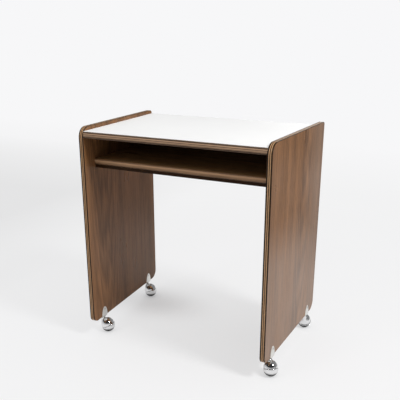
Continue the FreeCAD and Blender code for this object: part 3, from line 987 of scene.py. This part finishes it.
def screw_tree():
    """Slotted countersunk screws on a mesh's points, along the points' aim attribute."""
    tree = bpy.data.node_groups.new("slotted_screws", "GeometryNodeTree")
    tree.is_modifier = True
    face = tree.interface
    face.new_socket("Geometry", in_out="OUTPUT", socket_type="NodeSocketGeometry")
    face.new_socket("Geometry", in_out="INPUT", socket_type="NodeSocketGeometry")
    for label in [*screw_sizes, "Length"]:
        face.new_socket(label, in_out="INPUT", socket_type="NodeSocketFloat")
    face.new_socket("Seed", in_out="INPUT", socket_type="NodeSocketInt")
    face.new_socket("Material", in_out="INPUT", socket_type="NodeSocketMaterial")
    given = tree.nodes.new("NodeGroupInput").outputs
    shank_radius = given["Shank Radius"]

    # A line turned into a screw: its radius follows the head's cone, then the thread.
    end = add(tree, "ShaderNodeCombineXYZ", {"Z": given["Length"]}).outputs[0]
    line = add(tree, "GeometryNodeCurvePrimitiveLine", {"End": end}).outputs[0]
    sockets = {"Curve": line, "Count": screw_rings}
    line = add(tree, "GeometryNodeResampleCurve", sockets, mode="COUNT").outputs[0]
    position = tree.nodes.new("GeometryNodeInputPosition").outputs[0]
    depth = add(tree, "ShaderNodeSeparateXYZ", {0: position}).outputs[2]
    head = remapped(
        tree, depth, head_edge, given["Head Height"], given["Head Radius"], shank_radius
    )
    wave = maths(tree, "PINGPONG", maths(tree, "DIVIDE", depth, given["Thread Pitch"]), 0.5)
    groove = maths(tree, "MULTIPLY", maths(tree, "MULTIPLY", wave, 2.0), given["Thread Depth"])
    past_head = maths(tree, "GREATER_THAN", depth, given["Head Height"])
    radius = maths(tree, "SUBTRACT", head, maths(tree, "MULTIPLY", groove, past_head))
    left = maths(tree, "SUBTRACT", given["Length"], depth)
    tip = remapped(tree, left, 0.0, given["Tip Length"], tip_blunt, 1.0)
    radius = maths(tree, "MULTIPLY", radius, tip)
    sockets = {"Resolution": screw_sides, "Radius": 1.0}
    circle = add(tree, "GeometryNodeCurvePrimitiveCircle", sockets)
    sockets = {
        "Curve": line,
        "Profile Curve": circle.outputs[0],
        "Scale": radius,
        "Fill Caps": True,
    }
    blank = add(tree, "GeometryNodeCurveToMesh", sockets).outputs[0]

    size = add(
        tree,
        "ShaderNodeCombineXYZ",
        {
            "X": maths(tree, "MULTIPLY", given["Head Radius"], 3.0),
            "Y": given["Slot Width"],
            "Z": maths(tree, "MULTIPLY", given["Slot Depth"], 2.0),
        },
    ).outputs[0]
    blade = add(tree, "GeometryNodeMeshCube", {"Size": size}).outputs[0]
    screw = add(
        tree,
        "GeometryNodeMeshBoolean",
        {"Mesh 1": blank, "Mesh 2": blade},
        operation="DIFFERENCE",
        solver="EXACT",
    ).outputs[0]

    aim = add(
        tree, "GeometryNodeInputNamedAttribute", {"Name": "aim"}, data_type="FLOAT_VECTOR"
    ).outputs[0]
    turn = add(tree, "FunctionNodeAlignRotationToVector", {"Vector": aim}, axis="Z").outputs[0]
    spin = add(
        tree, "FunctionNodeRandomValue", {2: 0.0, 3: math.pi, 8: given["Seed"]}, data_type="FLOAT"
    ).outputs[1]
    spin = add(tree, "FunctionNodeAxisAngleToRotation", {"Axis": (0, 0, 1), "Angle": spin})
    turn = add(
        tree,
        "FunctionNodeRotateRotation",
        {"Rotation": turn, "Rotate By": spin.outputs[0]},
        rotation_space="LOCAL",
    ).outputs[0]
    sockets = {"Points": given["Geometry"], "Instance": screw, "Rotation": turn}
    placed = add(tree, "GeometryNodeInstanceOnPoints", sockets).outputs[0]
    placed = add(tree, "GeometryNodeRealizeInstances", {"Geometry": placed}).outputs[0]
    placed = add(
        tree, "GeometryNodeSetMaterial", {"Geometry": placed, "Material": given["Material"]}
    ).outputs[0]
    out = tree.nodes.new("NodeGroupOutput")
    tree.links.new(placed, out.inputs[0])
    return tree


def screw_set(name, places, length, seed):
    """Screws with their heads' faces at the given places, as one plain mesh."""
    mesh = bpy.data.meshes.new(name)
    mesh.from_pydata([place for place, aim in places], [], [])
    aims = mesh.attributes.new("aim", "FLOAT_VECTOR", "POINT")
    for entry, (place, aim) in zip(aims.data, places):
        entry.vector = aim
    made = bpy.data.objects.new(name, mesh)
    scene.collection.objects.link(made)
    modifier = made.modifiers.new("screws", "NODES")
    modifier.node_group = slotted_screws
    values = {**screw_sizes, "Length": length, "Seed": seed, "Material": materials["steel"]}
    for item in slotted_screws.interface.items_tree:
        if item.in_out == "INPUT" and item.name in values:
            modifier[item.identifier] = values[item.name]
    evaluated = made.evaluated_get(bpy.context.evaluated_depsgraph_get())
    plain = bpy.data.meshes.new_from_object(evaluated)
    made.modifiers.remove(modifier)
    made.data = plain
    build = bmesh.new()
    build.from_mesh(plain)
    bmesh.ops.recalc_face_normals(build, faces=build.faces)
    build.to_mesh(plain)
    build.free()
    plain.shade_smooth()
    plain.set_sharp_from_angle(angle=math.radians(screw_sharp))
    return made


def spread(reach, count):
    return [-reach + 2 * reach * index / (count - 1) for index in range(count)]


def screw_places():
    """The head and the direction of each screw, for each set of screws."""
    height = (ear_screw_height - ear_shoulder) / (ear_top - ear_shoulder)
    reach = panel_thickness / 2 + ear_bulge + (ear_tip_thickness - ear_bulge) * height
    reach += screw_stand
    ears = []
    for side, end, _ in casters.values():
        stand = Matrix.Translation(stem_place(side, end)) @ Matrix.Rotation(-side * toe, 4, "Z")
        for face in (-1, 1):
            place = stand @ Vector((face * reach, 0, ear_screw_height))
            ears.append((place, stand.to_3x3() @ Vector((-face, 0, 0))))
    rail_y = (rail_box[0][1] + rail_box[1][1]) / 2
    shelf_middle = (shelf_box[0][2] + shelf_box[1][2]) / 2
    back_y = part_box("back_panel")[1][1]
    rail = [
        (Vector((x, rail_y, rail_box[0][2])), Vector((0, 0, 1)))
        for x in spread(inner_x - rail_screw_margin, rail_screw_count)
    ]
    back = [
        (Vector((x, back_y, shelf_middle)), Vector((0, -1, 0)))
        for x in spread(inner_x - back_screw_margin, back_screw_count)
    ]
    return {
        "saddle_screws": (ears, ear_screw_length),
        "rail_screws": (rail, rail_screw_length),
        "back_screws": (back, back_screw_length),
    }


slotted_screws = screw_tree()
for seed, (node, (places, length)) in enumerate(screw_places().items()):
    made = screw_set(f"slotted_{node}", places, length, seed)
    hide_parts(node)
    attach(made, "table")


# ---- Floor and light -----------------------------------------------------------------

sheet_sides = (-8.0, 1.6)
sheet_front = -4.0
sheet_bend = 5.0  # where the sheet starts to curve upwards
sheet_radius = 2.5
sheet_top = 5.0
sheet_steps = 12

# How bright polished pieces see the paper, by its distance from the middle, 1 for 3 m: dim
# under the table and again beyond the lamps' reach.
mirrored_span = 3.0
mirrored_levels = (
    (0.05, 0.65),
    (0.12, 0.95),
    (0.27, 1.00),
    (0.43, 0.40),
    (0.67, 0.50),
    (0.87, 0.75),
    (1.00, 0.20),
)
# The paper's glow from front to back, with painted shade: a little darker across the middle and
# brightest far back.
glow_from, glow_to = -1.0, 3.5
glow_bands = (
    (0.0, rgb(0.90, 0.90, 0.905)),
    (0.3, rgb(0.88, 0.88, 0.885)),
    (0.65, rgb(0.89, 0.89, 0.895)),
    (1.0, rgb(0.93, 0.93, 0.94)),
)
# Painted shade: the paper's glow is cut back between the panels, next to the left one's rear
# corner, so its shadow there shows deeper.
dusk_middle = stem_place(-1, 1) + Vector((0.030, -0.035, 0))
dusk_stretch = (0.55, 1.0, 1.0)
dusk_reach = 0.17
dusk_least = 0.62
# The shade where the wheels touch the paper: faint when seen, sharp when mirrored.
contact_span, contact_span_mirrored = 0.030, 0.020
contact_power, contact_power_mirrored = 0.25, 4.75


def floor_glow(tree, along, back, away, mirrored):
    """The paper's glowing white, with painted shade towards the left and across the middle, which
    shows to the camera and in polished pieces.
    """
    reach = remapped(tree, away, 0.0, mirrored_span)
    reach = layer_ramp(tree, reach, mirrored_levels)
    dimming = maths(tree, "MULTIPLY", maths(tree, "SUBTRACT", 1.0, reach), mirrored)
    strength = maths(tree, "SUBTRACT", 1.0, dimming)
    sheet = ramp(tree, remapped(tree, back, glow_from, glow_to), glow_bands)
    # Painted shade: the paper's glow darkens a little towards the left, behind the table.
    left_painted_shade = remapped(tree, along, -0.8, -1.5, 0.0, 0.12)
    left_painted_shade = maths(tree, "MULTIPLY", left_painted_shade, remapped(tree, back, 2.6, 1.2))
    sheet = mixed(tree, left_painted_shade, sheet, rgb(0.0, 0.0, 0.0))
    return add(tree, "ShaderNodeEmission", {"Color": sheet, "Strength": strength}).outputs[0]


def glow_share(tree, place, along, back, away):
    """How much of the paper is its glow, and not the light and shade that fall on it."""
    far = remapped(tree, back, 1.0, 4.5)
    share = maths(tree, "MULTIPLY_ADD", far, 0.24, 0.72)
    # Painted light: the glow's share grows towards the left, lifting the table's shadow there.
    share = maths(tree, "ADD", share, remapped(tree, along, 0.2, -0.5, 0.0, 0.12))
    share = maths(tree, "MAXIMUM", share, remapped(tree, away, 0.3, 1.6, 0.72, 1.0))
    # Painted shade by place round the left panel's rear corner.
    apart = vector_maths(tree, "SUBTRACT", place, dusk_middle)
    apart = vector_maths(tree, "LENGTH", vector_maths(tree, "MULTIPLY", apart, dusk_stretch))
    sockets = {"Value": apart, "From Min": 0.0, "From Max": dusk_reach, "To Min": dusk_least}
    lit = add(tree, "ShaderNodeMapRange", sockets, interpolation_type="SMOOTHSTEP").outputs[0]
    return maths(tree, "MULTIPLY", share, lit)


def contact_shade(tree, mirrored):
    """1 where nothing is near the paper, and less where something touches it."""
    more_span = contact_span_mirrored - contact_span
    more_power = contact_power_mirrored - contact_power
    span = maths(tree, "MULTIPLY_ADD", mirrored, more_span, contact_span)
    near = add(tree, "ShaderNodeAmbientOcclusion", {"Distance": span}, samples=8).outputs["AO"]
    return maths(
        tree, "POWER", near, maths(tree, "MULTIPLY_ADD", mirrored, more_power, contact_power)
    )


def floor_material():
    material = bpy.data.materials.new("studio_floor")
    material.use_nodes = True
    tree = material.node_tree
    tree.nodes.clear()
    place = tree.nodes.new("ShaderNodeTexCoord").outputs["Object"]
    along, back = add(tree, "ShaderNodeSeparateXYZ", {0: place}).outputs[:2]
    away = vector_maths(tree, "LENGTH", place)
    light_path = tree.nodes.new("ShaderNodeLightPath").outputs
    mirrored = light_path["Is Glossy Ray"]
    seen = maths(tree, "MAXIMUM", light_path["Is Camera Ray"], mirrored)

    contact = contact_shade(tree, mirrored)
    drift = noise(tree, place, 0.35, 1.0)
    tone = mixed(tree, drift, rgb(0.84, 0.84, 0.845), rgb(0.88, 0.88, 0.885))
    tone = mixed(tree, contact, rgb(0.0, 0.0, 0.0), tone)
    paper = add(tree, "ShaderNodeBsdfDiffuse", {"Color": tone}).outputs[0]
    glow = floor_glow(tree, along, back, away, mirrored)
    share = maths(tree, "MULTIPLY", glow_share(tree, place, along, back, away), contact)
    share = maths(tree, "MULTIPLY", share, seen)
    blend = add(tree, "ShaderNodeMixShader", {0: share, 1: paper, 2: glow})
    out = tree.nodes.new("ShaderNodeOutputMaterial")
    tree.links.new(blend.outputs[0], out.inputs[0])
    return material


def build_floor():
    """A pale paper sheet on the floor that runs up into a backdrop far behind the table."""
    profile = [(sheet_front, 0.0)]
    profile += arc((sheet_bend, sheet_radius), sheet_radius, -90, 0, sheet_steps)
    profile.append((sheet_bend + sheet_radius, sheet_top))
    mesh = bpy.data.meshes.new("studio_floor")
    points = [(x, y, z) for y, z in profile for x in sheet_sides]
    faces = [(2 * i, 2 * i + 1, 2 * i + 3, 2 * i + 2) for i in range(len(profile) - 1)]
    mesh.from_pydata(points, [], faces)
    mesh.shade_smooth()
    mesh.materials.append(floor_material())
    floor = bpy.data.objects.new("studio_floor", mesh)
    scene.collection.objects.link(floor)


def area_light(name, place, aim, size, power):
    data = bpy.data.lights.new(name, "AREA")
    data.shape = "ELLIPSE"
    data.size, data.size_y = size
    data.energy = power
    lamp = bpy.data.objects.new(name, data)
    lamp.location = place
    lamp.rotation_euler = (Vector(aim) - Vector(place)).to_track_quat("-Z", "Y").to_euler()
    scene.collection.objects.link(lamp)
    return lamp


def build_world():
    """An even light all round; polished pieces see pale walls under a dark ceiling."""
    world = bpy.data.worlds.new("studio")
    scene.world = world
    world.use_nodes = True
    tree = world.node_tree
    tree.nodes.clear()
    light = add(tree, "ShaderNodeBackground", {"Color": rgb(0.42, 0.42, 0.43), "Strength": 1.0})
    aim = tree.nodes.new("ShaderNodeTexCoord").outputs["Generated"]
    aim = add(tree, "ShaderNodeSeparateXYZ", {0: aim}).outputs
    walls = [
        (0.0, rgb(0.70, 0.70, 0.71)),
        (0.6, rgb(0.55, 0.55, 0.56)),
        (1.0, rgb(0.03, 0.03, 0.03)),
    ]
    walls = ramp(tree, remapped(tree, aim[2], 0.0, 0.40), walls)
    behind = rgb(0.25, 0.25, 0.25)
    walls = mixed(tree, remapped(tree, aim[1], -0.25, 0.25), walls, behind)
    room = add(tree, "ShaderNodeBackground", {"Color": walls, "Strength": 1.0})
    backdrop = add(tree, "ShaderNodeBackground", {"Color": rgb(0.93, 0.93, 0.94), "Strength": 1.0})
    light_path = tree.nodes.new("ShaderNodeLightPath").outputs
    mirrored = light_path["Is Glossy Ray"]
    seen = light_path["Is Camera Ray"]
    sockets = {0: mirrored, 1: light.outputs[0], 2: room.outputs[0]}
    blend = add(tree, "ShaderNodeMixShader", sockets)
    sockets = {0: seen, 1: blend.outputs[0], 2: backdrop.outputs[0]}
    blend = add(tree, "ShaderNodeMixShader", sockets)
    out = tree.nodes.new("ShaderNodeOutputWorld")
    tree.links.new(blend.outputs[0], out.inputs[0])


build_floor()
build_world()

area_light("key", (3.1, -0.62, 3.64), (0.0, 0.0, 0.35), (0.99, 0.99), 154)
area_light("front", (-1.35, -2.6, 3.1), (0.0, 0.0, 0.3), (0.7, 0.7), 12)
overhead = area_light("overhead", (-0.2, 0.1, 3.8), (-0.1, 0.1, 0.0), (2.6, 2.6), 26)
overhead.visible_glossy = False
rim = area_light("rim", (-0.42, 3.1, 1.12), (0.3, 0.0, 0.68), (0.9, 0.45), 1.2)
rim.visible_camera = False


# ---- Camera --------------------------------------------------------------------------

camera_data = bpy.data.cameras.new("camera")
camera_data.sensor_width = 36.0
camera_data.lens = 53.196
camera_data.shift_y = 0.075
camera_data.clip_end = 60.0
camera = bpy.data.objects.new("camera", camera_data)
camera_turn = math.radians(26.047)
camera_rise = math.radians(18.793)
camera_target = Vector((-0.00781, 0.0, 0.34702))
camera_distance = 1.86468
backwards = Vector(
    (
        math.sin(camera_turn) * math.cos(camera_rise),
        -math.cos(camera_turn) * math.cos(camera_rise),
        math.sin(camera_rise),
    )
)
camera.location = camera_target + backwards * camera_distance
camera.rotation_euler = (-backwards).to_track_quat("-Z", "Y").to_euler()
scene.collection.objects.link(camera)
scene.camera = camera
scene.view_settings.view_transform = "Standard"
